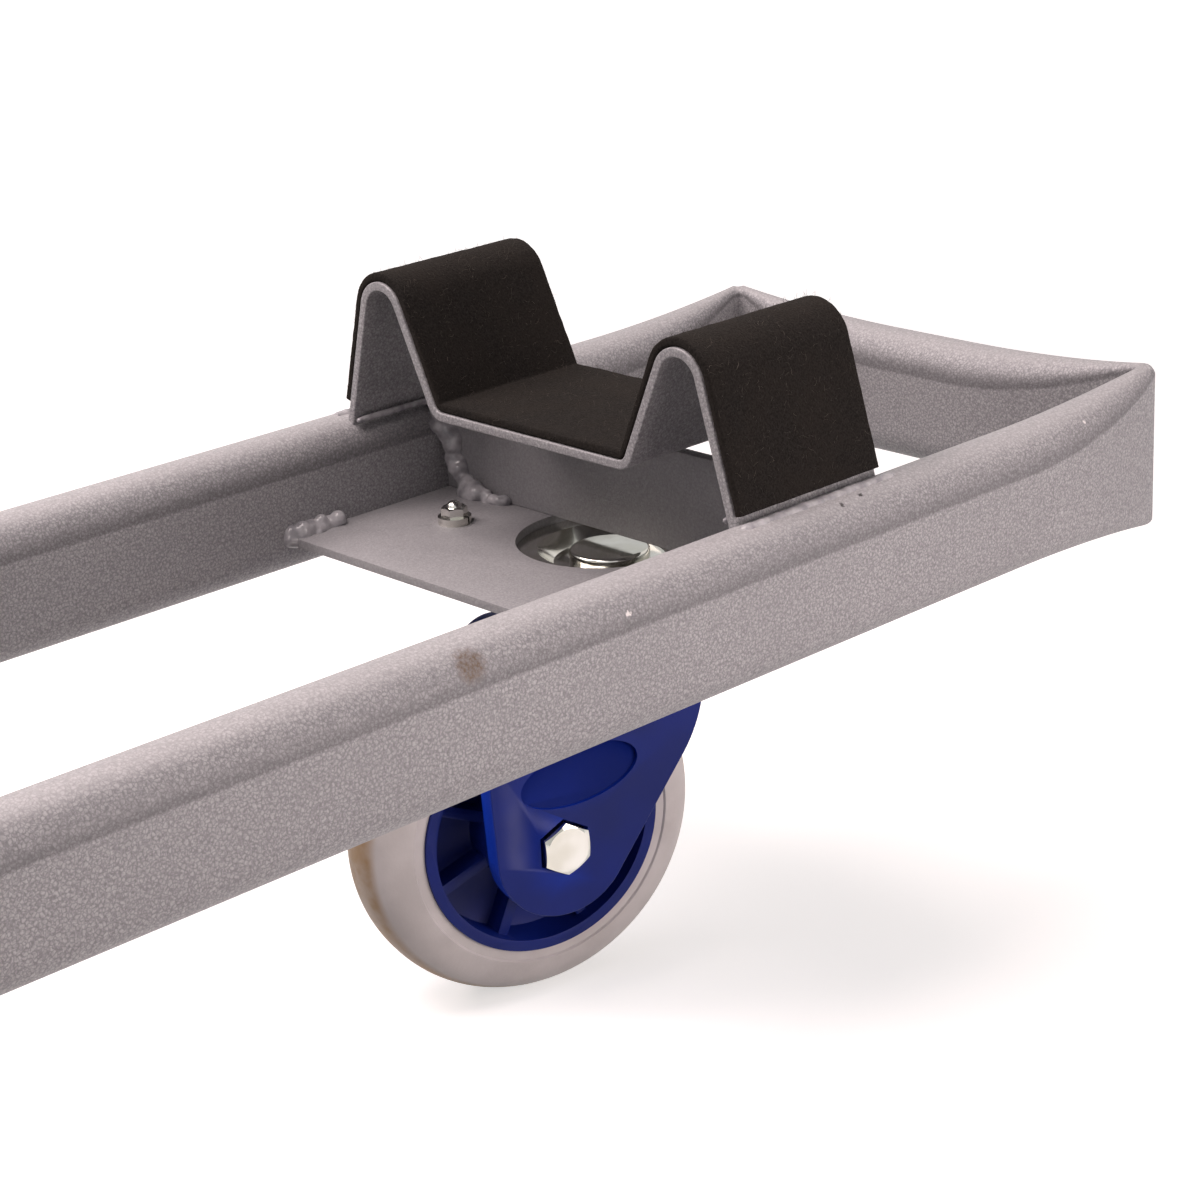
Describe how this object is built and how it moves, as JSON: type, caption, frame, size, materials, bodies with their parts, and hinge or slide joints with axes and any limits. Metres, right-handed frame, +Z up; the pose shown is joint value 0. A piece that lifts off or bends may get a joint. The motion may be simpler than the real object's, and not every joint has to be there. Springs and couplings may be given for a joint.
{
  "type": "door trolley",
  "caption": "Low frame of crushed-corner oval tube with a felt-lined W saddle and a swivel caster at each end and plain wheels at mid-length, to roll a door on its edge.",
  "frame": {"origin": "on the floor, below the middle of the frame", "axes": "+X along the rails towards the front end, +Y across the rails, +Z up"},
  "size_m": [1.2, 0.3346, 0.2522],
  "materials": {
    "hammertone_paint": "satin hammertone",
    "black_felt": "matte needle felt",
    "bright_zinc": "bright zinc plate",
    "ground_steel": "ground",
    "bush_bronze": "turned",
    "blue_nylon": "moulded satin",
    "grey_tyre_rubber": "matte"
  },
  "bodies": {
    "frame": {"rail_near": "hammertone_paint", "rail_far": "hammertone_paint", "end_tube_front": "hammertone_paint", "end_tube_rear": "hammertone_paint", "caster_plate_front": "hammertone_paint", "caster_plate_rear": "hammertone_paint", "cross_bar_front": "hammertone_paint", "cross_bar_rear": "hammertone_paint", "saddle_front": "hammertone_paint", "saddle_rear": "hammertone_paint", "felt_front": "black_felt", "felt_rear": "black_felt", "mount_bolts": "bright_zinc", "spring_washers": "bright_zinc", "cap_nuts": "bright_zinc", "axle_bracket_near": "hammertone_paint", "axle_bracket_far": "hammertone_paint", "mid_axle": "ground_steel", "axle_tube": "hammertone_paint", "axle_washers": "bright_zinc", "axle_nuts": "bright_zinc", "top_plate_front": "bright_zinc", "kingpin_front": "bright_zinc", "kingpin_nut_front": "bright_zinc", "race_balls_front": "ground_steel", "top_plate_rear": "bright_zinc", "kingpin_rear": "bright_zinc", "kingpin_nut_rear": "bright_zinc", "race_balls_rear": "ground_steel"},
    "front_fork": {"fork_front": "blue_nylon", "kingpin_bush_front": "bush_bronze", "wheel_bolt_front": "bright_zinc", "wheel_nut_front": "bright_zinc", "wheel_sleeve_front": "ground_steel"},
    "front_wheel": {"hub_front": "blue_nylon", "tyre_front": "grey_tyre_rubber", "bearings_front": "ground_steel"},
    "rear_fork": {"fork_rear": "blue_nylon", "kingpin_bush_rear": "bush_bronze", "wheel_bolt_rear": "bright_zinc", "wheel_nut_rear": "bright_zinc", "wheel_sleeve_rear": "ground_steel"},
    "rear_wheel": {"hub_rear": "blue_nylon", "tyre_rear": "grey_tyre_rubber", "bearings_rear": "ground_steel"},
    "near_wheel": {"hub_near": "blue_nylon", "tyre_near": "grey_tyre_rubber", "bearings_near": "ground_steel"},
    "far_wheel": {"hub_far": "blue_nylon", "tyre_far": "grey_tyre_rubber", "bearings_far": "ground_steel"}
  },
  "joints": [
    {"name": "front_swivel", "type": "hinge", "parent": "frame", "child": "front_fork", "pos_m": [0.413, 0, 0.14], "axis": [0, 0, 1], "continuous": true},
    {"name": "front_wheel_spin", "type": "hinge", "parent": "front_fork", "child": "front_wheel", "pos_m": [0.3727, 0.01072, 0.065], "axis": [-0.2571, -0.9664, 0], "continuous": true},
    {"name": "rear_swivel", "type": "hinge", "parent": "frame", "child": "rear_fork", "pos_m": [-0.413, 0, 0.14], "axis": [0, 0, 1], "continuous": true},
    {"name": "rear_wheel_spin", "type": "hinge", "parent": "rear_fork", "child": "rear_wheel", "pos_m": [-0.45407, -0.00724, 0.065], "axis": [0.1736, -0.9848, 0], "continuous": true},
    {"name": "near_wheel_spin", "type": "hinge", "parent": "frame", "child": "near_wheel", "pos_m": [0, -0.1304, 0.065], "axis": [0, 1, 0], "continuous": true},
    {"name": "far_wheel_spin", "type": "hinge", "parent": "frame", "child": "far_wheel", "pos_m": [0, 0.1304, 0.065], "axis": [0, 1, 0], "continuous": true}
  ]
}
